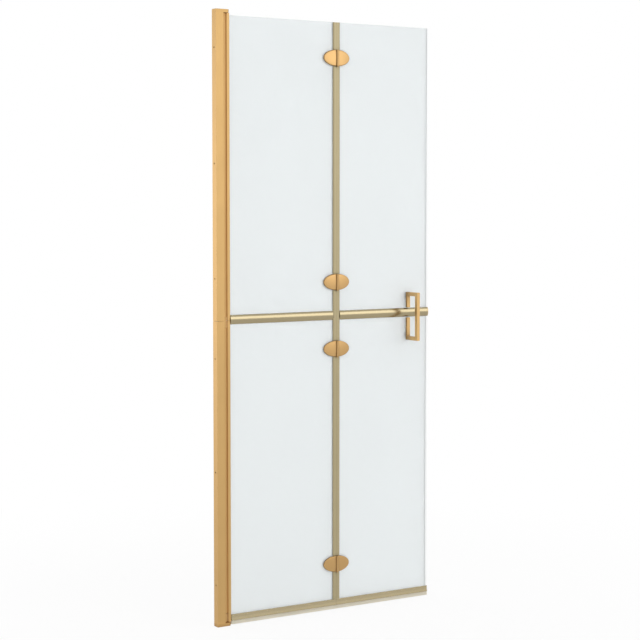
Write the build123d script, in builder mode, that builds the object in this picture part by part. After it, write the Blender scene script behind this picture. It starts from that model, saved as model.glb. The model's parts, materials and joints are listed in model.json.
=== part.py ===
from build123d import *
import os

# Folding walk-in shower screen: a wall channel, and two leaves of frosted glass hinged to each other.
# X runs from the wall along the closed screen, Y from the front to the back, and Z up.
# The origin is on the wall face, in the middle plane of the glass, level with the channel's foot.
# All sizes are millimetres.

# Overall sizes
height = 1900.0
width = 800.0
fold_x = 439.0
split_z = height / 2

# Clearances
running_fit = 0.08
seated_fit = 0.03
slot_fit = 0.1
end_gap = 0.3
moving_gap = 0.5

# Glass
glass_t = 5.0
glass_top_drop = 17.0
glass_hole_r = 5.0
glass_arris = 0.4
glass_half = glass_t / 2
glass_top_z = height - glass_top_drop

# Wall channel
channel_w = 27.0
channel_d = 25.0
channel_t = 1.6
channel_edge_r = 0.8
channel_seam = 0.8
wall_screw_r = 2.5
wall_screw_low = 130.0
wall_screw_high = 116.0
wall_screws_per_length = 3
channel_inside = channel_d / 2 - channel_t
wall_screw_pitch = (split_z - wall_screw_low - wall_screw_high) / (wall_screws_per_length - 1)

# End caps of the channel
cap_t = 10.0
cap_overhang = 20.0
cap_corner_r = 6.0
cap_plug_h = 8.0
cap_edge = 0.6

# Joiner bar behind the seam, in the room that the wall screws' heads need
screw_head_room = 7.4
joiner_length = 160.0
joiner_bevel = 0.6
joiner_t = screw_head_room - slot_fit
joiner_half = channel_inside - slot_fit

# Adjusting profile inside the channel
adjuster_t = 1.5
adjuster_inset = 1.0
adjuster_back_x = channel_t + screw_head_room
adjuster_face_x = channel_w - adjuster_inset
adjuster_half = channel_inside - slot_fit
side_screw_r = 1.7
side_screw_head_r = 3.2
side_screw_head_h = 1.6
side_screw_rise = 45.0
side_screw_tip = 2.0
side_screw_x = (adjuster_back_x + adjuster_face_x) / 2

# Pivot of the inner leaf
pivot_reach = 6.0
barrel_r = 5.0
pivot_pin_r = 2.5
pivot_pin_grip = 30.0
pivot_pin_seat = 7.0
foot_block_h = 28.0
mid_block_low = 21.0
mid_block_high = 11.0
block_nose_r = 5.5
pivot_x = channel_w + pivot_reach

# Pivot profile: barrel, neck and glass clamp in one section
neck_t = 4.0
clamp_start = 7.5
clamp_w = 10.5
clamp_wall = 1.75
clamp_floor = 3.5
clamp_edge_r = 1.2
gasket_t = 0.75
gasket_floor = 1.0
gasket_lip = 1.0
clamp_x = pivot_x + clamp_start
clamp_end_x = clamp_x + clamp_w
clamp_slot_x = clamp_x + clamp_floor
clamp_slot_half = glass_half + gasket_t
clamp_half = clamp_slot_half + clamp_wall

# Mid-rail
rail_rise = 3.0
rail_h = 29.0
rail_half_d = 7.6
rail_edge_half_d = 3.6
rail_slot = 9.0
rail_cap_plug = 8.0
rail_cap_wall = 2.0
rail_z = split_z + rail_rise
rail_low_z = rail_z - rail_h / 2
rail_high_z = rail_z + rail_h / 2
rail_start_x = clamp_end_x + end_gap

# Bottom rail and sweep
foot_rail_z = 13.5
foot_rail_h = 19.0
foot_rail_slot = 14.0
foot_rail_half_d = 7.0
foot_rail_top_half_d = 5.4
foot_rail_skirt_h = 9.5
foot_rail_edge_r = 0.8
sweep_root_half = 2.0
sweep_root_h = 3.5
sweep_floor_gap = 2.0
sweep_flange_t = 1.2
sweep_flange_half = 4.5
sweep_lip_t = 1.3
sweep_lip_out = 2.5
foot_rail_top_z = foot_rail_z + foot_rail_h

# Fold seal and the gap between the leaves
fold_gap = 0.2
seal_half_w = 12.5
seal_half_d = 7.0
seal_edge_half_d = 5.0
seal_flat = 6.5
seal_slot_x = 5.5
glass_fold_x = seal_slot_x + end_gap

# Oval glass hinges
hinge_low_z = 149.0
hinge_high_drop = 129.0
hinge_from_rail = 107.0
oval_half_w = 48.0
oval_half_h = 26.0
plate_gasket_t = 1.0
plate_t = 8.5
rear_plate_t = 5.0
plate_round = 2.8
plate_dome_r = 300.0
rear_plate_round = 1.8
knuckle_r = 4.0
knuckle_gap = 0.15
outer_knuckle_half = 9.0
inner_knuckle_top = 25.0
hinge_pin_r = 2.0
hinge_pin_head_r = 3.0
hinge_pin_head_h = 2.0
hinge_rib_half = 20.0
hinge_screw_x = 24.0
hinge_screw_z = 10.0
hinge_screw_r = 2.4
hinge_screw_head_r = 4.2
hinge_screw_head_h = 2.0
hinge_screw_depth = 5.0
plate_back = glass_half + plate_gasket_t
fold_y = -(plate_back + plate_t)
rear_face_y = plate_back + rear_plate_t
hinge_heights = [hinge_low_z, rail_z - hinge_from_rail, rail_z + hinge_from_rail, height - hinge_high_drop]

# Handle
handle_edge_inset = 89.0
handle_below_rail = 90.0
handle_w = 12.0
handle_h = 157.0
handle_bar = 12.0
handle_foot_t = 9.0
handle_reach = 65.3
handle_rail_gap = 2.0
handle_edge = 0.6
handle_pad_t = 1.0
handle_pad_inset = 0.8
handle_screw_r = 2.4
handle_screw_inset = 16.0
handle_screw_depth = 6.0
handle_disc_r = 9.0
handle_disc_t = 4.0
handle_disc_edge = 0.8
handle_x = width - handle_edge_inset
handle_low_z = rail_z - handle_below_rail
handle_back_y = -(glass_half + handle_pad_t)
handle_front_y = -(glass_half + handle_reach)
handle_high_z = handle_low_z + handle_h
handle_screw_heights = [handle_low_z + handle_screw_inset, handle_high_z - handle_screw_inset]

# Edge seal on the free edge, and the mid-rail's end cap in line with it
edge_seal_leg = 5.0
edge_seal_t = 0.8
edge_seal_floor = 1.5
glass_end_x = width - edge_seal_floor

os.makedirs("parts", exist_ok=True)


def save(piece, name):
    """Labels a finished piece and writes it under its own name."""
    piece.label = name
    export_step(piece, f"parts/{name}.step")


def box_between(x0, x1, y0, y1, z0, z1, mode=Mode.ADD):
    """Adds or cuts the block between two corners in the part being built."""
    with Locations(((x0 + x1) / 2, (y0 + y1) / 2, (z0 + z1) / 2)):
        Box(x1 - x0, y1 - y0, z1 - z0, mode=mode)


def upright_bar(x, y, radius, z0, z1, mode=Mode.ADD):
    """Adds or cuts a round bar along Z."""
    with Locations((x, y, z0)):
        Cylinder(radius, z1 - z0, align=(Align.CENTER, Align.CENTER, Align.MIN), mode=mode)


def holes_along_y(points, radius, y0, y1):
    """Cuts round holes along Y between two depths, at (x, z) points."""
    with BuildSketch(Plane.XZ.offset(-y1)) as holes:
        with Locations(*points):
            Circle(radius)
    extrude(holes.sketch, amount=y1 - y0, mode=Mode.SUBTRACT)


# Wall channel

def wall_channel(name, z0, z1, foot_z):
    """One length of the U-shaped wall channel, open towards the leaf, with its wall screw holes."""
    with BuildPart() as channel:
        with BuildSketch(Plane.XY.offset(z0)) as section:
            with Locations((channel_w / 2, 0)):
                Rectangle(channel_w, channel_d)
            fillet(section.vertices().group_by(Axis.X)[-1], channel_edge_r)
            with Locations(((channel_w + channel_t) / 2, 0)):
                Rectangle(channel_w - channel_t, 2 * channel_inside, mode=Mode.SUBTRACT)
        extrude(amount=z1 - z0)
        with BuildSketch(Plane.YZ):
            for row in range(wall_screws_per_length):
                with Locations((0, foot_z + wall_screw_low + row * wall_screw_pitch)):
                    Circle(wall_screw_r)
        extrude(amount=channel_t, mode=Mode.SUBTRACT)
        side_points = [(side_screw_x, z) for z in side_screw_heights(foot_z)]
        holes_along_y(side_points, side_screw_r + slot_fit, channel_inside, channel_d / 2)
    save(channel.part, name)


def side_screw_heights(foot_z):
    """Heights of the side screws of the length that starts at foot_z."""
    first = foot_z + wall_screw_low + side_screw_rise
    return [first + row * wall_screw_pitch for row in range(wall_screws_per_length)]


wall_channel("wall_channel_lower", cap_t, split_z - channel_seam / 2, 0)
wall_channel("wall_channel_upper", split_z + channel_seam / 2, height - cap_t, split_z)

with BuildPart() as channel_joiner:
    box_between(
        channel_t, channel_t + joiner_t, -joiner_half, joiner_half,
        split_z - joiner_length / 2, split_z + joiner_length / 2,
    )
    chamfer(channel_joiner.edges().filter_by(Axis.X), joiner_bevel)
save(channel_joiner.part, "channel_joiner")


# End caps

def end_cap(name, outer_z, inner_z):
    """A flat cap that runs on over the pivot, with a plug in the channel; the top one holds a pin."""
    low, high = min(outer_z, inner_z), max(outer_z, inner_z)
    plug_end = inner_z + cap_plug_h * (1 if inner_z > outer_z else -1)
    with BuildPart() as cap:
        with BuildSketch(Plane.XY.offset(low)) as plan:
            with Locations(((channel_w + cap_overhang) / 2, 0)):
                Rectangle(channel_w + cap_overhang, channel_d)
            fillet(plan.vertices().group_by(Axis.X)[-1], cap_corner_r)
        extrude(amount=high - low)
        outer_face = cap.faces().sort_by(Axis.Z)[-1 if outer_z > inner_z else 0]
        edges_off_the_wall = outer_face.edges().sort_by(Axis.X)[1:]
        chamfer(edges_off_the_wall, cap_edge)
        box_between(
            channel_t + slot_fit, adjuster_back_x - end_gap,
            slot_fit - channel_inside, channel_inside - slot_fit,
            min(inner_z, plug_end), max(inner_z, plug_end),
        )
        if inner_z < outer_z:
            upright_bar(
                pivot_x, 0, pivot_pin_r + seated_fit, inner_z, inner_z + pivot_pin_seat, mode=Mode.SUBTRACT
            )
    save(cap.part, name)


end_cap("bottom_cap", 0, cap_t)
end_cap("top_cap", height, height - cap_t)


# Pivot blocks

def pivot_block(name, z0, z1, bore_z0):
    """A block that plugs the channel and carries a pin in its round nose."""
    with BuildPart() as block:
        with BuildSketch(Plane.XY.offset(z0)):
            with Locations(((adjuster_back_x + channel_w) / 2, 0)):
                Rectangle(channel_w - adjuster_back_x, 2 * adjuster_half)
            with Locations(((channel_w + pivot_x) / 2, 0)):
                Rectangle(pivot_x - channel_w, 2 * block_nose_r)
            with Locations((pivot_x, 0)):
                Circle(block_nose_r)
        extrude(amount=z1 - z0)
        upright_bar(pivot_x, 0, pivot_pin_r + seated_fit, bore_z0, z1, mode=Mode.SUBTRACT)
    save(block.part, name)


foot_block_top = cap_t + foot_block_h
foot_pin_z = cap_t + pivot_pin_seat
mid_block_z0 = split_z - mid_block_low
mid_block_z1 = split_z + mid_block_high
pivot_block("pivot_block_foot", cap_t, foot_block_top, foot_pin_z)
pivot_block("pivot_block_middle", mid_block_z0, mid_block_z1, mid_block_z0)

with BuildPart() as pivot_pins:
    upright_bar(pivot_x, 0, pivot_pin_r, foot_pin_z, foot_block_top + pivot_pin_grip)
    upright_bar(pivot_x, 0, pivot_pin_r, mid_block_z0 - pivot_pin_grip, mid_block_z1 + pivot_pin_grip)
    upright_bar(pivot_x, 0, pivot_pin_r, height - cap_t - pivot_pin_grip, height - cap_t + pivot_pin_seat)
save(pivot_pins.part, "pivot_pins")


# Adjusting profile and its side screws

def adjusting_profile(name, z0, z1, foot_z):
    """A U-shaped profile that slides in the wall channel and closes its mouth."""
    with BuildPart() as profile:
        with BuildSketch(Plane.XY.offset(z0)):
            with Locations(((adjuster_back_x + adjuster_face_x) / 2, 0)):
                Rectangle(adjuster_face_x - adjuster_back_x, 2 * adjuster_half)
            with Locations(((adjuster_back_x + adjuster_face_x - adjuster_t) / 2, 0)):
                Rectangle(
                    adjuster_face_x - adjuster_t - adjuster_back_x, 2 * (adjuster_half - adjuster_t),
                    mode=Mode.SUBTRACT,
                )
        extrude(amount=z1 - z0)
        side_points = [(side_screw_x, z) for z in side_screw_heights(foot_z)]
        holes_along_y(side_points, side_screw_r + seated_fit, adjuster_half - adjuster_t, adjuster_half)
    save(profile.part, name)


adjusting_profile("adjusting_profile_lower", foot_block_top, mid_block_z0, 0)
adjusting_profile("adjusting_profile_upper", mid_block_z1, height - cap_t, split_z)

with BuildPart() as side_screws:
    for z in side_screw_heights(0) + side_screw_heights(split_z):
        with Locations(Plane(origin=(side_screw_x, channel_d / 2, z), z_dir=(0, 1, 0))):
            Cylinder(
                side_screw_head_r, side_screw_head_h, align=(Align.CENTER, Align.CENTER, Align.MIN)
            )
        shank = channel_d / 2 - adjuster_half + adjuster_t + side_screw_tip
        with Locations(Plane(origin=(side_screw_x, channel_d / 2, z), z_dir=(0, 1, 0))):
            Cylinder(side_screw_r, shank, align=(Align.CENTER, Align.CENTER, Align.MAX))
save(side_screws.part, "side_screws")


# Pivot profile and its glazing gaskets

def pivot_profile(name, z0, z1, barrel_z0, barrel_z1):
    """The leaf's edge profile: a barrel round the pins, a neck, and a clamp over the glass."""
    with BuildPart() as profile:
        with BuildSketch(Plane.XY.offset(z0)) as clamp:
            with Locations(((clamp_x + clamp_end_x) / 2, 0)):
                Rectangle(clamp_w, 2 * clamp_half)
            fillet(clamp.vertices(), clamp_edge_r)
            with Locations(((clamp_slot_x + clamp_end_x) / 2, 0)):
                Rectangle(clamp_end_x - clamp_slot_x, 2 * clamp_slot_half, mode=Mode.SUBTRACT)
        extrude(amount=z1 - z0)
        with BuildSketch(Plane.XY.offset(barrel_z0)):
            with Locations((pivot_x, 0)):
                Circle(barrel_r)
            with Locations((pivot_x + clamp_start / 2 + neck_t / 4, 0)):
                Rectangle(clamp_start + neck_t / 2, neck_t)
            with Locations((pivot_x, 0)):
                Circle(pivot_pin_r + running_fit, mode=Mode.SUBTRACT)
        extrude(amount=barrel_z1 - barrel_z0)
    save(profile.part, name)


def glazing_gasket(name, z0, z1):
    """A soft U-shaped strip between the glass edge and the clamp, with a small lip that shows."""
    with BuildPart() as gasket:
        with BuildSketch(Plane.XY.offset(z0)):
            lip_x = clamp_end_x + gasket_lip
            with Locations(((clamp_slot_x + lip_x) / 2, 0)):
                Rectangle(lip_x - clamp_slot_x, 2 * clamp_slot_half)
            with Locations(((clamp_slot_x + gasket_floor + lip_x) / 2, 0)):
                Rectangle(lip_x - clamp_slot_x - gasket_floor, glass_t, mode=Mode.SUBTRACT)
        extrude(amount=z1 - z0)
    save(gasket.part, name)


pivot_profile(
    "pivot_profile_lower", cap_t + moving_gap, split_z - channel_seam / 2,
    foot_block_top + moving_gap, mid_block_z0 - moving_gap,
)
pivot_profile(
    "pivot_profile_upper", split_z + channel_seam / 2, height - cap_t - moving_gap,
    mid_block_z1 + moving_gap, height - cap_t - moving_gap,
)
glazing_gasket("glazing_gasket_lower", foot_rail_top_z + end_gap, rail_low_z - end_gap)
glazing_gasket("glazing_gasket_upper", rail_high_z + end_gap, glass_top_z)


# Glass panes

pane_foot_z = foot_rail_top_z - foot_rail_slot + end_gap
lower_pane_top = rail_low_z + rail_slot - end_gap
upper_pane_foot = rail_high_z - rail_slot + end_gap
inner_pane_x = clamp_slot_x + gasket_floor


def pane(name, x0, x1, z0, z1, side, extra_holes=()):
    """A sheet of frosted glass, drilled for its two hinges and whatever else it carries."""
    points = list(extra_holes)
    for z in hinge_heights:
        if z0 < z < z1:
            points += hinge_screw_points(side, z)
    with BuildPart() as glass:
        box_between(x0, x1, -glass_half, glass_half, z0, z1)
        chamfer(glass.edges().filter_by(Axis.Y, reverse=True), glass_arris)
        holes_along_y(points, glass_hole_r, -glass_half, glass_half)
    save(glass.part, name)


def hinge_screw_points(side, z):
    """The two screws of a hinge plate, as (x, z); side is -1 on the inner leaf and 1 on the outer."""
    x = fold_x + side * hinge_screw_x
    return [(x, z - hinge_screw_z), (x, z + hinge_screw_z)]


handle_mid_x = handle_x + handle_w / 2
handle_low_hole = [(handle_mid_x, handle_screw_heights[0])]
handle_high_hole = [(handle_mid_x, handle_screw_heights[1])]
pane("glass_inner_lower", inner_pane_x, fold_x - glass_fold_x, pane_foot_z, lower_pane_top, -1)
pane("glass_inner_upper", inner_pane_x, fold_x - glass_fold_x, upper_pane_foot, glass_top_z, -1)
pane(
    "glass_outer_lower", fold_x + glass_fold_x, glass_end_x, pane_foot_z, lower_pane_top, 1,
    extra_holes=handle_low_hole,
)
pane(
    "glass_outer_upper", fold_x + glass_fold_x, glass_end_x, upper_pane_foot, glass_top_z, 1,
    extra_holes=handle_high_hole,
)


# Mid-rails

rail_pocket_half = rail_h / 2 - rail_slot - rail_cap_wall


def rail_outline(x):
    """The mid-rail's outer section, with bulging faces, as a sketch across X."""
    with BuildSketch(Plane.YZ.offset(x)) as outline:
        with BuildLine():
            for side in (-1, 1):
                ThreePointArc(
                    (side * rail_edge_half_d, rail_low_z),
                    (side * rail_half_d, rail_z),
                    (side * rail_edge_half_d, rail_high_z),
                )
            for edge_z in (rail_low_z, rail_high_z):
                Line((-rail_edge_half_d, edge_z), (rail_edge_half_d, edge_z))
        make_face()
    return outline.sketch


def mid_rail(name, x0, x1, tongue, pocket):
    """An H-shaped rail between two panes, with a tongue in the clamp or a pocket at its free end."""
    slot_half = glass_half + slot_fit
    with BuildPart() as rail:
        extrude(rail_outline(x0), amount=x1 - x0)
        box_between(x0, x1, -slot_half, slot_half, rail_low_z, rail_low_z + rail_slot, mode=Mode.SUBTRACT)
        box_between(x0, x1, -slot_half, slot_half, rail_high_z - rail_slot, rail_high_z, mode=Mode.SUBTRACT)
        if tongue:
            box_between(
                inner_pane_x, x0, slot_fit - clamp_slot_half, clamp_slot_half - slot_fit,
                lower_pane_top + end_gap, upper_pane_foot - end_gap,
            )
        if pocket:
            box_between(
                x1 - rail_cap_plug - end_gap, x1, -rail_edge_half_d, rail_edge_half_d,
                rail_z - rail_pocket_half, rail_z + rail_pocket_half, mode=Mode.SUBTRACT,
            )
    save(rail.part, name)


mid_rail("mid_rail_inner", rail_start_x, fold_x - seal_half_w - end_gap, tongue=True, pocket=False)
mid_rail("mid_rail_outer", fold_x + seal_half_w + end_gap, glass_end_x, tongue=False, pocket=True)

with BuildPart() as mid_rail_end_cap:
    extrude(rail_outline(glass_end_x), amount=width - glass_end_x)
    box_between(
        glass_end_x - rail_cap_plug, glass_end_x, slot_fit - rail_edge_half_d, rail_edge_half_d - slot_fit,
        rail_z - rail_pocket_half + slot_fit, rail_z + rail_pocket_half - slot_fit,
    )
save(mid_rail_end_cap.part, "mid_rail_end_cap")


# Bottom rails and sweeps

def bottom_rail(name, x0, x1):
    """The rail under the lower pane: a slot for the glass over a flared skirt that holds the sweep."""
    skirt_z = foot_rail_z + foot_rail_skirt_h
    with BuildPart() as rail:
        with BuildSketch(Plane.YZ.offset(x0)) as section:
            with BuildLine():
                Polyline(
                    (-foot_rail_half_d, foot_rail_z),
                    (-foot_rail_top_half_d, skirt_z),
                    (-foot_rail_top_half_d, foot_rail_top_z),
                    (foot_rail_top_half_d, foot_rail_top_z),
                    (foot_rail_top_half_d, skirt_z),
                    (foot_rail_half_d, foot_rail_z),
                    close=True,
                )
            make_face()
            fillet(section.vertices().group_by(Axis.Y)[-1], foot_rail_edge_r)
            with Locations((0, foot_rail_top_z - foot_rail_slot / 2)):
                Rectangle(2 * (glass_half + slot_fit), foot_rail_slot, mode=Mode.SUBTRACT)
            with Locations((0, foot_rail_z + sweep_root_h / 2)):
                Rectangle(2 * (sweep_root_half + slot_fit), sweep_root_h, mode=Mode.SUBTRACT)
        extrude(amount=x1 - x0)
    save(rail.part, name)


def sweep(name, x0, x1):
    """A soft strip in the bottom rail: an upright wiper and a slanted drip lip in front of it."""
    flange_z = foot_rail_z - slot_fit
    under_z = flange_z - sweep_flange_t
    with BuildPart() as strip:
        with BuildSketch(Plane.YZ.offset(x0)):
            with Locations((0, (flange_z + foot_rail_z + sweep_root_h - slot_fit) / 2)):
                Rectangle(2 * sweep_root_half, foot_rail_z + sweep_root_h - slot_fit - flange_z)
            with Locations((0, flange_z - sweep_flange_t / 2)):
                Rectangle(2 * sweep_flange_half, sweep_flange_t)
            with Locations((0, (under_z + sweep_floor_gap) / 2)):
                Rectangle(sweep_lip_t, under_z - sweep_floor_gap)
            with BuildLine():
                Polyline(
                    (-sweep_flange_half, under_z),
                    (-sweep_flange_half - sweep_lip_out, sweep_floor_gap),
                    (-sweep_flange_half - sweep_lip_out + sweep_lip_t, sweep_floor_gap),
                    (-sweep_flange_half + sweep_lip_t, under_z),
                    close=True,
                )
            make_face()
        extrude(amount=x1 - x0)
    save(strip.part, name)


bottom_rail("bottom_rail_inner", rail_start_x, fold_x - fold_gap)
bottom_rail("bottom_rail_outer", fold_x + fold_gap, width)
sweep("sweep_inner", rail_start_x, fold_x - fold_gap)
sweep("sweep_outer", fold_x + fold_gap, width)


# Fold seal

def fold_seal(name, side):
    """One leaf's half of the fold seal: a clip over the glass edge with a rounded nose, cut at each hinge."""
    slot_half = glass_half + slot_fit
    stops = [foot_rail_top_z + end_gap]
    for z in hinge_heights:
        stops += [z - oval_half_h - end_gap, z + oval_half_h + end_gap]
    stops.append(glass_top_z)
    with BuildPart() as seal:
        for z0, z1 in zip(stops[0::2], stops[1::2]):
            with BuildSketch(Plane.XY.offset(z0)):
                with BuildLine():
                    Line(
                        (fold_x + side * fold_gap, seal_half_d), (fold_x + side * fold_gap, -seal_half_d)
                    )
                    Line(
                        (fold_x + side * fold_gap, -seal_half_d), (fold_x + side * seal_flat, -seal_half_d)
                    )
                    TangentArc(
                        (fold_x + side * seal_flat, -seal_half_d),
                        (fold_x + side * seal_half_w, -seal_edge_half_d), tangent=(side, 0),
                    )
                    Line(
                        (fold_x + side * seal_half_w, -seal_edge_half_d),
                        (fold_x + side * seal_half_w, seal_edge_half_d),
                    )
                    TangentArc(
                        (fold_x + side * seal_flat, seal_half_d),
                        (fold_x + side * seal_half_w, seal_edge_half_d), tangent=(side, 0),
                    )
                    Line(
                        (fold_x + side * seal_flat, seal_half_d), (fold_x + side * fold_gap, seal_half_d)
                    )
                make_face()
                with Locations((fold_x + side * (seal_slot_x + seal_half_w) / 2, 0)):
                    Rectangle(seal_half_w - seal_slot_x, 2 * slot_half, mode=Mode.SUBTRACT)
            extrude(amount=z1 - z0)
    save(seal.part, name)


fold_seal("fold_seal_inner", -1)
fold_seal("fold_seal_outer", 1)


# Oval hinges

def half_oval(side, z, inset=0.0):
    """Draws half of the hinge's oval, on one side of the fold."""
    with Locations((fold_x, z)):
        Ellipse(oval_half_w - inset, oval_half_h - inset)
    with Locations((fold_x + side * (fold_gap + oval_half_w), z)):
        Rectangle(2 * oval_half_w, 2 * oval_half_w, mode=Mode.INTERSECT)


def front_plate(name, side, z):
    """A front plate: a domed half oval, a rib between the panes, and its knuckles on the fold axis."""
    split = outer_knuckle_half + knuckle_gap
    if side < 0:
        knuckles = [(-inner_knuckle_top, -split), (split, inner_knuckle_top)]
        cuts = [(-split, split)]
    else:
        knuckles = [(-outer_knuckle_half, outer_knuckle_half)]
        cuts = [(-oval_half_h, -outer_knuckle_half), (outer_knuckle_half, oval_half_h)]
    with BuildPart() as plate:
        with BuildSketch(Plane.XZ.offset(plate_back)):
            half_oval(side, z)
        extrude(amount=plate_t)
        with Locations((fold_x, fold_y + plate_dome_r, z)):
            Sphere(plate_dome_r, mode=Mode.INTERSECT)
        rim = plate.faces().sort_by(Axis.Y)[0].edges().sort_by(Axis.X)[-1 if side > 0 else 0]
        fillet(rim, plate_round)
        rib = sorted((fold_x + side * fold_gap, fold_x + side * (glass_fold_x - end_gap)))
        box_between(rib[0], rib[1], -plate_back, plate_back, z - hinge_rib_half, z + hinge_rib_half)
        for low, high in cuts:
            upright_bar(fold_x, fold_y, knuckle_r + end_gap, z + low, z + high, mode=Mode.SUBTRACT)
        for low, high in knuckles:
            upright_bar(fold_x, fold_y, knuckle_r, z + low, z + high)
        bore_r = hinge_pin_r + (seated_fit if side < 0 else running_fit)
        upright_bar(fold_x, fold_y, bore_r, z - oval_half_h, z + oval_half_h, mode=Mode.SUBTRACT)
        holes_along_y(
            hinge_screw_points(side, z), hinge_screw_r + seated_fit,
            -plate_back - hinge_screw_depth, -plate_back,
        )
    save(plate.part, name)


def rear_plate(name, side, z):
    """A rear plate: the same half oval, thinner, with countersunk screw holes."""
    with BuildPart() as plate:
        with BuildSketch(Plane.XZ.offset(-rear_face_y)):
            half_oval(side, z)
        extrude(amount=rear_plate_t)
        rim = plate.faces().sort_by(Axis.Y)[-1].edges().filter_by(GeomType.ELLIPSE)
        fillet(rim, rear_plate_round)
        points = hinge_screw_points(side, z)
        holes_along_y(points, hinge_screw_r + seated_fit, plate_back, rear_face_y)
        for x, screw_z in points:
            with Locations(Plane(origin=(x, rear_face_y, screw_z), z_dir=(0, 1, 0))):
                Cone(
                    hinge_screw_r + seated_fit, hinge_screw_head_r + seated_fit, hinge_screw_head_h,
                    align=(Align.CENTER, Align.CENTER, Align.MAX), mode=Mode.SUBTRACT,
                )
    save(plate.part, name)


def hinge_pin(name, z):
    """The pin through the knuckles, with its head under the lowest one."""
    head_z = z - oval_half_h - knuckle_gap
    with BuildPart() as pin:
        upright_bar(fold_x, fold_y, hinge_pin_r, head_z, z + inner_knuckle_top)
        upright_bar(fold_x, fold_y, hinge_pin_head_r, head_z - hinge_pin_head_h, head_z)
    save(pin.part, name)


def plate_gaskets(name, side):
    """Soft pads between the glass and the front and rear plates of the four hinges."""
    with BuildPart() as gaskets:
        for z in hinge_heights:
            for face_y in (-plate_back, glass_half):
                with BuildSketch(Plane.XZ.offset(-face_y - plate_gasket_t)):
                    half_oval(side, z, inset=plate_gasket_t)
                    with Locations((fold_x + side * (glass_fold_x - oval_half_w), z)):
                        Rectangle(2 * oval_half_w, 2 * oval_half_w, mode=Mode.SUBTRACT)
                    with Locations(*hinge_screw_points(side, z)):
                        Circle(glass_hole_r, mode=Mode.SUBTRACT)
                extrude(amount=plate_gasket_t)
    save(gaskets.part, name)


def hinge_screws(name, side):
    """The countersunk screws of the four hinges, from the rear plate into the front plate."""
    with BuildPart() as screws:
        for z in hinge_heights:
            for x, screw_z in hinge_screw_points(side, z):
                with Locations(Plane(origin=(x, rear_face_y, screw_z), z_dir=(0, 1, 0))):
                    Cone(
                        hinge_screw_r, hinge_screw_head_r, hinge_screw_head_h,
                        align=(Align.CENTER, Align.CENTER, Align.MAX),
                    )
                    Cylinder(
                        hinge_screw_r, rear_face_y + plate_back + hinge_screw_depth - end_gap,
                        align=(Align.CENTER, Align.CENTER, Align.MAX),
                    )
    save(screws.part, name)


for number, z in enumerate(hinge_heights, start=1):
    front_plate(f"hinge_{number}_front_inner", -1, z)
    front_plate(f"hinge_{number}_front_outer", 1, z)
    rear_plate(f"hinge_{number}_rear_inner", -1, z)
    rear_plate(f"hinge_{number}_rear_outer", 1, z)
    hinge_pin(f"hinge_{number}_pin", z)

for leaf, side in (("inner", -1), ("outer", 1)):
    plate_gaskets(f"hinge_gaskets_{leaf}", side)
    hinge_screws(f"hinge_screws_{leaf}", side)


# Handle

rail_gap_low = rail_low_z - handle_rail_gap
rail_gap_high = rail_high_z + handle_rail_gap
grip_back_y = handle_front_y + handle_bar
foot_front_y = handle_back_y - handle_foot_t

with BuildPart() as handle:
    with BuildSketch(Plane.YZ.offset(handle_x)):
        with Locations(((handle_front_y + handle_back_y) / 2, (handle_low_z + handle_high_z) / 2)):
            Rectangle(handle_back_y - handle_front_y, handle_h)
        with Locations(((grip_back_y + foot_front_y) / 2, (handle_low_z + handle_high_z) / 2)):
            Rectangle(foot_front_y - grip_back_y, handle_h - 2 * handle_bar, mode=Mode.SUBTRACT)
        with Locations(((foot_front_y + handle_back_y) / 2, (rail_gap_low + rail_gap_high) / 2)):
            Rectangle(handle_foot_t, rail_gap_high - rail_gap_low, mode=Mode.SUBTRACT)
    extrude(amount=handle_w)
    chamfer(handle.edges().filter_by(Axis.X, reverse=True), handle_edge)
    holes_along_y(
        [(handle_mid_x, z) for z in handle_screw_heights], handle_screw_r + seated_fit,
        handle_back_y - handle_screw_depth, handle_back_y,
    )
save(handle.part, "handle")

with BuildPart() as handle_pads:
    feet = ((handle_low_z, rail_gap_low), (rail_gap_high, handle_high_z))
    for (low, high), z in zip(feet, handle_screw_heights):
        box_between(
            handle_x + handle_pad_inset, handle_x + handle_w - handle_pad_inset, handle_back_y, -glass_half,
            low + handle_pad_inset, high - handle_pad_inset,
        )
        with Locations(Plane(origin=(handle_mid_x, glass_half, z), z_dir=(0, 1, 0))):
            Cylinder(
                handle_disc_r - handle_pad_inset, handle_pad_t, align=(Align.CENTER, Align.CENTER, Align.MIN)
            )
    holes_along_y(
        [(handle_mid_x, z) for z in handle_screw_heights], glass_hole_r,
        handle_back_y, glass_half + handle_pad_t,
    )
save(handle_pads.part, "handle_pads")

with BuildPart() as handle_screws:
    for z in handle_screw_heights:
        with Locations(Plane(origin=(handle_mid_x, glass_half + handle_pad_t, z), z_dir=(0, 1, 0))):
            Cylinder(handle_disc_r, handle_disc_t, align=(Align.CENTER, Align.CENTER, Align.MIN))
            chamfer(handle_screws.faces().sort_by(Axis.Y)[-1].edges(), handle_disc_edge)
            Cylinder(
                handle_screw_r, glass_half + handle_pad_t - handle_back_y + handle_screw_depth - end_gap,
                align=(Align.CENTER, Align.CENTER, Align.MAX),
            )
save(handle_screws.part, "handle_screws")


# Edge seal

with BuildPart() as edge_seal:
    seal_spans = (
        (foot_rail_top_z + end_gap, rail_low_z - end_gap),
        (rail_high_z + end_gap, glass_top_z),
    )
    for z0, z1 in seal_spans:
        with BuildSketch(Plane.XY.offset(z0)):
            with Locations((width - (edge_seal_leg + edge_seal_floor) / 2, 0)):
                Rectangle(edge_seal_leg + edge_seal_floor, glass_t + 2 * edge_seal_t)
            with Locations((glass_end_x - edge_seal_leg / 2, 0)):
                Rectangle(edge_seal_leg, glass_t, mode=Mode.SUBTRACT)
        extrude(amount=z1 - z0)
save(edge_seal.part, "edge_seal")
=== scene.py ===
import json
import math

import bmesh
import bpy
from mathutils import Matrix, Vector


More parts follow.
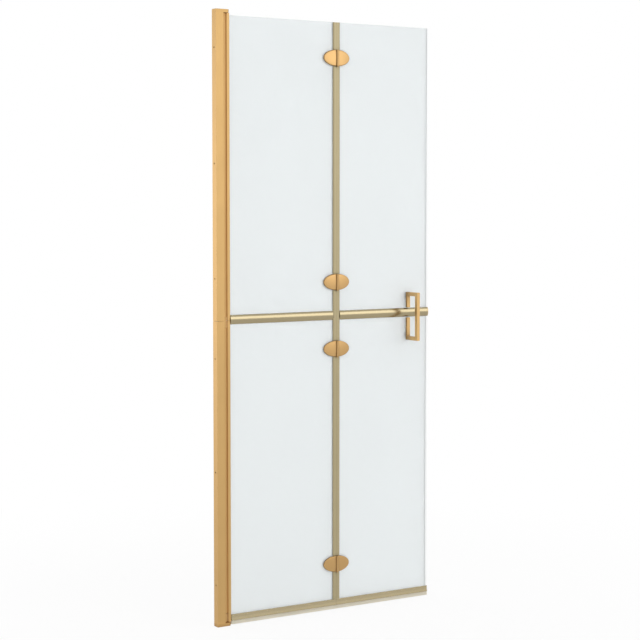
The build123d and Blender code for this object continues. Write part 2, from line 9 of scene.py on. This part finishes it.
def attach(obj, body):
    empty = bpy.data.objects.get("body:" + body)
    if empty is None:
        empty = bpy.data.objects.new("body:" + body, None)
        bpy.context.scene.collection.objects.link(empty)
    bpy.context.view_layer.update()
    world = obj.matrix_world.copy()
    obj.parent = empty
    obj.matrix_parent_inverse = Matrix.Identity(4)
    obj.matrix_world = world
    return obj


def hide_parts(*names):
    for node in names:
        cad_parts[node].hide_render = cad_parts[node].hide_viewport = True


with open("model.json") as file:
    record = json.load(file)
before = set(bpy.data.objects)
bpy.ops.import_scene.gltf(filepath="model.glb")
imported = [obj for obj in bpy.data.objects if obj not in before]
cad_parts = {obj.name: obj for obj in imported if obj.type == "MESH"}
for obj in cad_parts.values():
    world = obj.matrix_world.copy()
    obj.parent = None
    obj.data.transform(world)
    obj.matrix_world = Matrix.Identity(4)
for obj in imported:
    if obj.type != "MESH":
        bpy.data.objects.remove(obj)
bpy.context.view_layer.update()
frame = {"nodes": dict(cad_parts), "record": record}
nodes = frame["nodes"]
scene = bpy.context.scene
scene.view_settings.view_transform = "Standard"

MM = 0.001

# Shader helpers

AO_SAMPLES = 6
OPEN_SHARE = (0.35, 0.95)
NOISE_RANGE = (0.25, 0.75)
COLOUR_RANGE = (0.3, 0.7)
NOISE_ROUGHNESS = 0.55
DRIFT_SCALE = 9.0
DRIFT_DETAIL = 2.0
GRAIN_DETAIL = 4.0
GLASS_IOR = 1.45
# The Mix node has sockets of the same name for each kind of value, so they are taken by number
MIX_FACTOR, MIX_FIRST, MIX_SECOND = 0, 6, 7
MIX_COLOUR = 2


def new_material(name):
    """An empty node material and its node tree."""
    material = bpy.data.materials.new(name)
    material.use_nodes = True
    tree = material.node_tree
    tree.nodes.clear()
    return material, tree


def node(tree, kind, **inputs):
    """Adds a shader node and sets its plain inputs, given by socket name."""
    made = tree.nodes.new(kind)
    for key, value in inputs.items():
        made.inputs[key.replace("_", " ")].default_value = value
    return made


def noise(tree, coordinates, stretch, scale, detail):
    """Noise in the piece's own coordinates, stretched by the three factors."""
    mapping = tree.nodes.new("ShaderNodeMapping")
    mapping.inputs["Scale"].default_value = stretch
    tree.links.new(coordinates, mapping.inputs["Vector"])
    texture = node(
        tree, "ShaderNodeTexNoise", Scale=scale, Detail=detail, Roughness=NOISE_ROUGHNESS,
    )
    tree.links.new(mapping.outputs["Vector"], texture.inputs["Vector"])
    return texture.outputs["Fac"]


def ramp(tree, source, low, high):
    """A colour that runs from low to high as the source goes over its middle range."""
    made = tree.nodes.new("ShaderNodeValToRGB")
    for element, place, colour in zip(made.color_ramp.elements, COLOUR_RANGE, (low, high)):
        element.position = place
        element.color = (*colour, 1)
    tree.links.new(source, made.inputs["Fac"])
    return made.outputs["Color"]


def mapped(tree, source, given, wanted, smooth=False):
    """A number that runs over the wanted range as the source goes over the given one."""
    made = tree.nodes.new("ShaderNodeMapRange")
    if smooth:
        made.interpolation_type = "SMOOTHSTEP"
    made.inputs["From Min"].default_value, made.inputs["From Max"].default_value = given
    made.inputs["To Min"].default_value, made.inputs["To Max"].default_value = wanted
    tree.links.new(source, made.inputs["Value"])
    return made.outputs["Result"]


def reckoned(tree, operation, source, second=None):
    """The result of a math node; the second value may be a socket, a number or left out."""
    made = tree.nodes.new("ShaderNodeMath")
    made.operation = operation
    tree.links.new(source, made.inputs[0])
    if isinstance(second, bpy.types.NodeSocket):
        tree.links.new(second, made.inputs[1])
    elif second is not None:
        made.inputs[1].default_value = second
    return made.outputs["Value"]


def bump(tree, source, distance):
    """A bump of a given depth in metres."""
    made = node(tree, "ShaderNodeBump", Strength=1.0, Distance=distance)
    tree.links.new(source, made.inputs["Height"])
    return made.outputs["Normal"]


def blended(tree, factor, plain, other):
    """Mixes a plain colour, at factor 0, with the colour of a socket, at factor 1."""
    made = tree.nodes.new("ShaderNodeMix")
    made.data_type = "RGBA"
    tree.links.new(factor, made.inputs[MIX_FACTOR])
    made.inputs[MIX_FIRST].default_value = (*plain, 1)
    tree.links.new(other, made.inputs[MIX_SECOND])
    return made.outputs[MIX_COLOUR]


def openness(tree, reach):
    """1 on open surfaces, falling to 0 where other surfaces stand within reach."""
    shade = tree.nodes.new("ShaderNodeAmbientOcclusion")
    shade.samples = AO_SAMPLES
    shade.inputs["Distance"].default_value = reach
    return mapped(tree, shade.outputs["AO"], OPEN_SHARE, (0.0, 1.0))


def finished(material, tree, shader):
    """Joins the shader to the material's output."""
    output = tree.nodes.new("ShaderNodeOutputMaterial")
    tree.links.new(shader.outputs["BSDF"], output.inputs["Surface"])
    return material


def shaded(
    name, colour, vary, metallic, rough, grain, grain_scale, grain_depth, painted_shade=None, **extra,
):
    """A finished surface: a colour that drifts, and fine grain in its roughness and bump.

    Its shade argument is painted shade, given as the reach in metres, the brightness and the tint
    of the darker colour that is blended into corners and recesses.
    """
    material, tree = new_material(name)
    coordinates = tree.nodes.new("ShaderNodeTexCoord").outputs["Object"]
    shader = node(tree, "ShaderNodeBsdfPrincipled", Metallic=metallic, **extra)
    drift = noise(tree, coordinates, EVEN, DRIFT_SCALE, DRIFT_DETAIL)
    low = [c * (1 - vary) for c in colour]
    high = [min(1.0, c * (1 + vary)) for c in colour]
    surface = ramp(tree, drift, low, high)
    # Painted shade: the colour is blended towards a darker tint in corners and recesses, where
    # other surfaces stand within reach
    if painted_shade:
        reach, brightness, tint = painted_shade
        shade_colour = [c * t * brightness for c, t in zip(colour, tint)]
        surface = blended(tree, openness(tree, reach), shade_colour, surface)
    tree.links.new(surface, shader.inputs["Base Color"])
    fine = noise(tree, coordinates, grain, grain_scale, GRAIN_DETAIL)
    tree.links.new(mapped(tree, fine, NOISE_RANGE, rough), shader.inputs["Roughness"])
    tree.links.new(bump(tree, fine, grain_depth), shader.inputs["Normal"])
    return finished(material, tree, shader)


CLOUD_STRETCH = (1, 1, 0.7)
CLOUD_SCALE = 2.6
CLOUD_LOW = 0.985
TOOTH_SCALE = 2200.0
FROST_DETAIL = 3.0
TOOTH_DEPTH = 6e-6
FACE_NORMAL_Y = 0.9


def frosted(name, face, edge, rough, transmission):
    """Etched glass: a pale cloudy face with a fine tooth, and a greener ground edge."""
    material, tree = new_material(name)
    coordinates = tree.nodes.new("ShaderNodeTexCoord")
    place = coordinates.outputs["Object"]
    shader = node(
        tree, "ShaderNodeBsdfPrincipled",
        Metallic=0.0, Transmission_Weight=transmission, IOR=GLASS_IOR,
    )
    cloud = noise(tree, place, CLOUD_STRETCH, CLOUD_SCALE, FROST_DETAIL)
    surface = ramp(tree, cloud, [c * CLOUD_LOW for c in face], face)
    # The piece's own normal tells a face from an edge, so that it holds when a leaf swings
    split = tree.nodes.new("ShaderNodeSeparateXYZ")
    tree.links.new(coordinates.outputs["Normal"], split.inputs["Vector"])
    facing = reckoned(tree, "ABSOLUTE", split.outputs["Y"])
    on_face = reckoned(tree, "GREATER_THAN", facing, FACE_NORMAL_Y)
    tree.links.new(blended(tree, on_face, edge, surface), shader.inputs["Base Color"])
    tooth = noise(tree, place, EVEN, TOOTH_SCALE, FROST_DETAIL)
    tree.links.new(mapped(tree, tooth, NOISE_RANGE, rough), shader.inputs["Roughness"])
    tree.links.new(bump(tree, tooth, TOOTH_DEPTH), shader.inputs["Normal"])
    return finished(material, tree, shader)


# Materials: the grain runs up the profiles, along the rails, or evenly on small pieces

UP = (1, 1, 0.03)
ALONG = (0.03, 1, 1)
EVEN = (1, 1, 1)
# Tints of the painted shade in corners and recesses, one for each finish
GOLD_SHADE_TINT = (0.95, 0.84, 0.76)
OLIVE_SHADE_TINT = (0.98, 0.98, 0.95)
STEEL_SHADE_TINT = (1.0, 0.92, 0.85)

# Where a material has a shade tint, its colour carries painted shade: darker in corners, in
# recesses and where it stands against the glass
gold = shaded(
    "gold_anodised", (0.56, 0.358, 0.146), vary=0.03, metallic=1.0, rough=(0.46, 0.54),
    grain=UP, grain_scale=1800, grain_depth=8e-6, painted_shade=(0.02, 1.15, GOLD_SHADE_TINT),
)
gold_cap = shaded(
    "gold_cap", (0.57, 0.366, 0.15), vary=0.03, metallic=1.0, rough=(0.48, 0.56),
    grain=EVEN, grain_scale=1800, grain_depth=8e-6, painted_shade=(0.02, 0.7, GOLD_SHADE_TINT),
)
# The hinge's painted shade is short and deep, and it darkens the rims of the plates where they
# meet the glass
gold_hinge = shaded(
    "gold_hinge", (0.5, 0.312, 0.131), vary=0.03, metallic=1.0, rough=(0.33, 0.4),
    grain=EVEN, grain_scale=1500, grain_depth=6e-6, painted_shade=(0.008, 0.35, GOLD_SHADE_TINT),
)
# The handle's painted shade reaches further, and it darkens the rear bar that lies against the
# glass
gold_handle = shaded(
    "gold_handle", (0.585, 0.38, 0.165), vary=0.03, metallic=1.0, rough=(0.4, 0.48),
    grain=UP, grain_scale=1800, grain_depth=8e-6, painted_shade=(0.034, 0.3, GOLD_SHADE_TINT),
)
champagne = shaded(
    "champagne_rail", (0.36, 0.302, 0.186), vary=0.02, metallic=1.0, rough=(0.2, 0.225),
    grain=ALONG, grain_scale=700, grain_depth=1.2e-6, painted_shade=(0.02, 0.75, OLIVE_SHADE_TINT),
)
# Painted light: the bottom rails have the same finish as the mid rail, and this copy is lighter to
# stand in for the light they catch
champagne_foot_lit_copy = shaded(
    "champagne_foot_lit_copy", (0.43, 0.362, 0.223), vary=0.02, metallic=1.0, rough=(0.2, 0.225),
    grain=ALONG, grain_scale=700, grain_depth=1.2e-6, painted_shade=(0.02, 0.75, OLIVE_SHADE_TINT),
)
seal = shaded(
    "champagne_seal", (0.398, 0.332, 0.191), vary=0.02, metallic=0.4, rough=(0.4, 0.44),
    grain=UP, grain_scale=900, grain_depth=2e-6, painted_shade=(0.012, 0.6, OLIVE_SHADE_TINT),
)
sweep = shaded(
    "sweep_strip", (0.8, 0.74, 0.6), vary=0.03, metallic=0.0, rough=(0.3, 0.42),
    grain=ALONG, grain_scale=900, grain_depth=8e-6, Transmission_Weight=0.25, IOR=GLASS_IOR,
)
clear = shaded(
    "clear_strip", (0.93, 0.945, 0.945), vary=0.015, metallic=0.0, rough=(0.3, 0.4),
    grain=UP, grain_scale=900, grain_depth=4e-6, Transmission_Weight=0.03, IOR=GLASS_IOR,
)
glass = frosted(
    "frosted_glass", face=(0.935, 0.965, 0.97), edge=(0.78, 0.86, 0.84),
    rough=(0.55, 0.66), transmission=0.5,
)
# The steel's painted shade darkens the screw sockets and the joiner inside the wall channel
steel = shaded(
    "steel", (0.54, 0.54, 0.52), vary=0.04, metallic=1.0, rough=(0.24, 0.34),
    grain=EVEN, grain_scale=1500, grain_depth=4e-6, painted_shade=(0.01, 0.12, STEEL_SHADE_TINT),
)

by_slot = {
    "gold_anodised": gold,
    "gold_cap": gold_cap,
    "gold_hinge": gold_hinge,
    "champagne_rail": champagne,
    "champagne_seal": seal,
    "sweep_strip": sweep,
    "clear_strip": clear,
    "frosted_glass": glass,
    "steel": steel,
}
by_node = {
    "handle": gold_handle,
    "bottom_rail_inner": champagne_foot_lit_copy,
    "bottom_rail_outer": champagne_foot_lit_copy,
}
slots = {part["node"]: part["material_slot"] for part in frame["record"]["subparts"]}
for name, piece in nodes.items():
    piece.data.materials.clear()
    piece.data.materials.append(by_node.get(name, by_slot[slots[name]]))


# Mesh helpers for the turned and socketed fasteners

SMOOTH_BELOW = math.radians(32)
SOCKET_TAPER = 0.93
WELD = 1e-6


def turned(profile, segments=48):
    """A solid of revolution about local Z from (radius, z) points in millimetres, axis to axis."""
    mesh = bmesh.new()
    turn = 2 * math.pi / segments
    rings = []
    for radius, z in profile:
        if radius == 0:
            rings.append([mesh.verts.new((0, 0, z * MM))])
            continue
        rings.append([
            mesh.verts.new((
                radius * MM * math.cos(i * turn), radius * MM * math.sin(i * turn), z * MM,
            ))
            for i in range(segments)
        ])
    for low, high in zip(rings, rings[1:]):
        for i in range(segments):
            corners = []
            for ring, k in ((low, i), (low, i + 1), (high, i + 1), (high, i)):
                corner = ring[k % len(ring)]
                if corner not in corners:
                    corners.append(corner)
            mesh.faces.new(corners)
    bmesh.ops.recalc_face_normals(mesh, faces=mesh.faces)
    return mesh


def prism(outline, z0, z1):
    """An upright prism over an (x, y) outline in millimetres, slightly narrower at its foot."""
    mesh = bmesh.new()
    foot = MM * SOCKET_TAPER
    low = [mesh.verts.new((x * foot, y * foot, z0 * MM)) for x, y in outline]
    high = [mesh.verts.new((x * MM, y * MM, z1 * MM)) for x, y in outline]
    mesh.faces.new(low[::-1])
    mesh.faces.new(high)
    for i in range(len(outline)):
        k = (i + 1) % len(outline)
        mesh.faces.new((low[i], low[k], high[k], high[i]))
    bmesh.ops.recalc_face_normals(mesh, faces=mesh.faces)
    return mesh


def as_object(mesh, name):
    """Puts a bmesh into a new object in the scene."""
    data = bpy.data.meshes.new(name)
    mesh.to_mesh(data)
    mesh.free()
    made = bpy.data.objects.new(name, data)
    scene.collection.objects.link(made)
    return made


def hollowed(blank, cutter):
    """The blank less the cutter's form, as mesh data; both helper objects are removed."""
    body, tool = as_object(blank, "blank"), as_object(cutter, "cutter")
    cut = body.modifiers.new("recess", "BOOLEAN")
    cut.operation = "DIFFERENCE"
    cut.solver = "EXACT"
    cut.object = tool
    depsgraph = bpy.context.evaluated_depsgraph_get()
    shape = bpy.data.meshes.new_from_object(body.evaluated_get(depsgraph))
    bpy.data.objects.remove(body)
    bpy.data.objects.remove(tool)
    return shape


def hexagon(across_flats):
    """The corners of a hexagon of a given width across its flats."""
    reach = across_flats / 2 / math.cos(math.pi / 6)
    return [
        (reach * math.cos(i * math.pi / 3), reach * math.sin(i * math.pi / 3)) for i in range(6)
    ]


def cross(reach, half):
    """The corners of a cross recess with four wings."""
    wing = [(reach, -half), (reach, half), (half, half)]
    quarters = [i * math.pi / 2 for i in range(4)]
    return [
        (x * math.cos(a) - y * math.sin(a), x * math.sin(a) + y * math.cos(a))
        for a in quarters for x, y in wing
    ]


def island_boxes(node_name):
    """The lowest and highest corner of each separate solid in a CAD node."""
    mesh = bmesh.new()
    mesh.from_mesh(nodes[node_name].data)
    bmesh.ops.remove_doubles(mesh, verts=mesh.verts, dist=WELD)
    left, boxes = set(mesh.verts), []
    while left:
        stack = [left.pop()]
        island = list(stack)
        while stack:
            for edge in stack.pop().link_edges:
                for corner in edge.verts:
                    if corner in left:
                        left.remove(corner)
                        stack.append(corner)
                        island.append(corner)
        lows = [min(v.co[k] for v in island) for k in range(3)]
        highs = [max(v.co[k] for v in island) for k in range(3)]
        boxes.append((lows, highs))
    mesh.free()
    return sorted(boxes)


def fastened(node_name, body, shape, face):
    """A turned fastener at each solid of a CAD node, in place of the node and with its slot.

    Its axis runs along +Y, and its local zero lies on the face at y = face in millimetres.
    """
    slot_name = slots[node_name]
    mesh = bmesh.new()
    for low, high in island_boxes(node_name):
        place = ((low[0] + high[0]) / 2, face * MM, (low[2] + high[2]) / 2)
        copy = bmesh.new()
        copy.from_mesh(shape)
        outwards = Matrix.Rotation(math.radians(-90), 4, "X")
        # Each copy is turned on its axis by another amount, as screws are
        spin = Matrix.Rotation(math.radians(37 * len(mesh.verts) % 60), 4, "Z")
        bmesh.ops.transform(
            copy, matrix=Matrix.Translation(place) @ outwards @ spin, verts=copy.verts,
        )
        moved = bpy.data.meshes.new("moved")
        copy.to_mesh(moved)
        copy.free()
        mesh.from_mesh(moved)
        bpy.data.meshes.remove(moved)
    made = as_object(mesh, node_name + "_turned")
    made.data.shade_smooth()
    made.data.set_sharp_from_angle(angle=SMOOTH_BELOW)
    made.data.materials.append(by_slot[slot_name])
    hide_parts(node_name)
    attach(made, body)


# Countersunk hinge screws with a hexagon socket

HINGE_FACE = 8.5
HINGE_SOCKET = 3.0
hinge_screw = hollowed(
    turned([
        (0, 0.0), (3.95, 0.0), (4.15, -0.12), (4.2, -0.2), (2.4, -2.0), (2.4, -16.3),
        (2.1, -16.7), (0, -16.7),
    ]),
    prism(hexagon(HINGE_SOCKET), -1.7, 1.0),
)
for leaf in ("inner", "outer"):
    fastened("hinge_screws_" + leaf, leaf + "_leaf", hinge_screw, HINGE_FACE)

# Domed side screws of the wall channel with a cross recess

SIDE_FACE = 12.5
CROSS_REACH = 1.75
CROSS_HALF = 0.36
side_screw = hollowed(
    turned([
        (0, 1.6), (0.9, 1.56), (1.7, 1.42), (2.4, 1.15), (2.9, 0.78), (3.15, 0.4), (3.2, 0.0),
        (1.7, 0.0), (1.7, -4.6), (1.5, -5.0), (0, -5.0),
    ]),
    prism(cross(CROSS_REACH, CROSS_HALF), 0.35, 2.0),
)
fastened("side_screws", "wall_frame", side_screw, SIDE_FACE)

# Discs that hold the handle, with a turned groove and a hexagon socket

DISC_FACE = 3.5
DISC_SOCKET = 4.0
DISC_SEGMENTS = 64
handle_screw = hollowed(
    turned([
        (0, 3.7), (6.2, 3.7), (6.35, 3.82), (6.5, 4.0), (8.2, 4.0), (8.6, 3.88), (8.9, 3.55),
        (9.0, 3.2), (9.0, 0.15), (8.85, 0.0), (2.4, 0.0), (2.4, -8.4), (2.1, -8.7), (0, -8.7),
    ], DISC_SEGMENTS),
    prism(hexagon(DISC_SOCKET), 1.6, 5.0),
)
fastened("handle_screws", "outer_leaf", handle_screw, DISC_FACE)


# Floor, surroundings and lamps

SOFT_LIGHT = 0.88
SEEN_WHITE = 1.0
FLOOR_SIZE = 60
FLOOR_MIDDLE = (0.4, 0, 0)
FLOOR_COLOUR = (0.9, 0.9, 0.9, 1)
SHADOW_SHARE = 0.12
SHADOW_FADE = (0.6, 2.2)


def seen_rays(tree):
    """1 for the rays that show the surroundings: direct, in a reflection or through glass."""
    path = tree.nodes.new("ShaderNodeLightPath")
    total = path.outputs["Is Camera Ray"]
    for kind in ("Is Glossy Ray", "Is Transmission Ray"):
        total = reckoned(tree, "MAXIMUM", total, path.outputs[kind])
    return total


def surroundings():
    """White wherever they are seen, and plain soft light of a lower strength elsewhere."""
    world = bpy.data.worlds.new("studio")
    scene.world = world
    world.use_nodes = True
    tree = world.node_tree
    tree.nodes.clear()
    background = node(tree, "ShaderNodeBackground", Color=(1, 1, 1, 1))
    strength = mapped(tree, seen_rays(tree), (0.0, 1.0), (SOFT_LIGHT, SEEN_WHITE))
    tree.links.new(strength, background.inputs["Strength"])
    output = tree.nodes.new("ShaderNodeOutputWorld")
    tree.links.new(background.outputs["Background"], output.inputs["Surface"])


def mixed(tree, factor, first, second):
    """Mixes two shaders, the first at factor 0."""
    made = tree.nodes.new("ShaderNodeMixShader")
    for value, socket in zip((factor, first, second), made.inputs):
        tree.links.new(value, socket)
    return made.outputs["Shader"]


def stage_floor():
    """A wide pale floor that meets the white surroundings and keeps a soft shadow."""
    bpy.ops.mesh.primitive_plane_add(size=FLOOR_SIZE, location=FLOOR_MIDDLE)
    floor = bpy.context.object
    floor.name = "floor"
    material, tree = new_material("floor")
    coordinates = tree.nodes.new("ShaderNodeTexCoord").outputs["Object"]
    length = tree.nodes.new("ShaderNodeVectorMath")
    length.operation = "LENGTH"
    tree.links.new(coordinates, length.inputs[0])
    near = mapped(tree, length.outputs["Value"], SHADOW_FADE, (1.0, 0.0), smooth=True)
    pale = node(tree, "ShaderNodeBsdfDiffuse", Color=FLOOR_COLOUR).outputs["BSDF"]
    glow = node(tree, "ShaderNodeEmission", Color=(1, 1, 1, 1), Strength=1.0).outputs["Emission"]
    shown = mixed(tree, reckoned(tree, "MULTIPLY", near, SHADOW_SHARE), glow, pale)
    output = tree.nodes.new("ShaderNodeOutputMaterial")
    tree.links.new(mixed(tree, seen_rays(tree), pale, shown), output.inputs["Surface"])
    floor.data.materials.append(material)


def area_lamp(name, place, target, size_x, size_y, radiance):
    """A soft box of a given size whose face has the given radiance."""
    data = bpy.data.lights.new(name, "AREA")
    data.shape = "RECTANGLE"
    data.size = size_x
    data.size_y = size_y
    data.energy = radiance * math.pi * size_x * size_y
    lamp = bpy.data.objects.new(name, data)
    scene.collection.objects.link(lamp)
    lamp.location = place
    towards = Vector(target) - Vector(place)
    lamp.rotation_euler = towards.to_track_quat("-Z", "Y").to_euler()


surroundings()
stage_floor()
area_lamp(
    "front_box", place=(2.9, -4.6, 2.3), target=(0.4, 0, 1.2),
    size_x=3.8, size_y=2.5, radiance=1.75,
)
area_lamp(
    "side_box", place=(-2.5, 4.6, 1.2), target=(0, 0, 1.0),
    size_x=3.0, size_y=2.35, radiance=1.6,
)

# Camera

LENS_MM = 94.613
SHIFT_UP = -0.02
CAMERA_PLACE = (-2.4699, -4.5255, 1.3149)
TILT_DOWN = 3.577
TURN = -32.206

camera_data = bpy.data.cameras.new("camera")
camera_data.lens = LENS_MM
camera_data.shift_y = SHIFT_UP
camera = bpy.data.objects.new("camera", camera_data)
camera.location = CAMERA_PLACE
camera.rotation_euler = (math.radians(90 - TILT_DOWN), 0, math.radians(TURN))
scene.collection.objects.link(camera)
scene.camera = camera
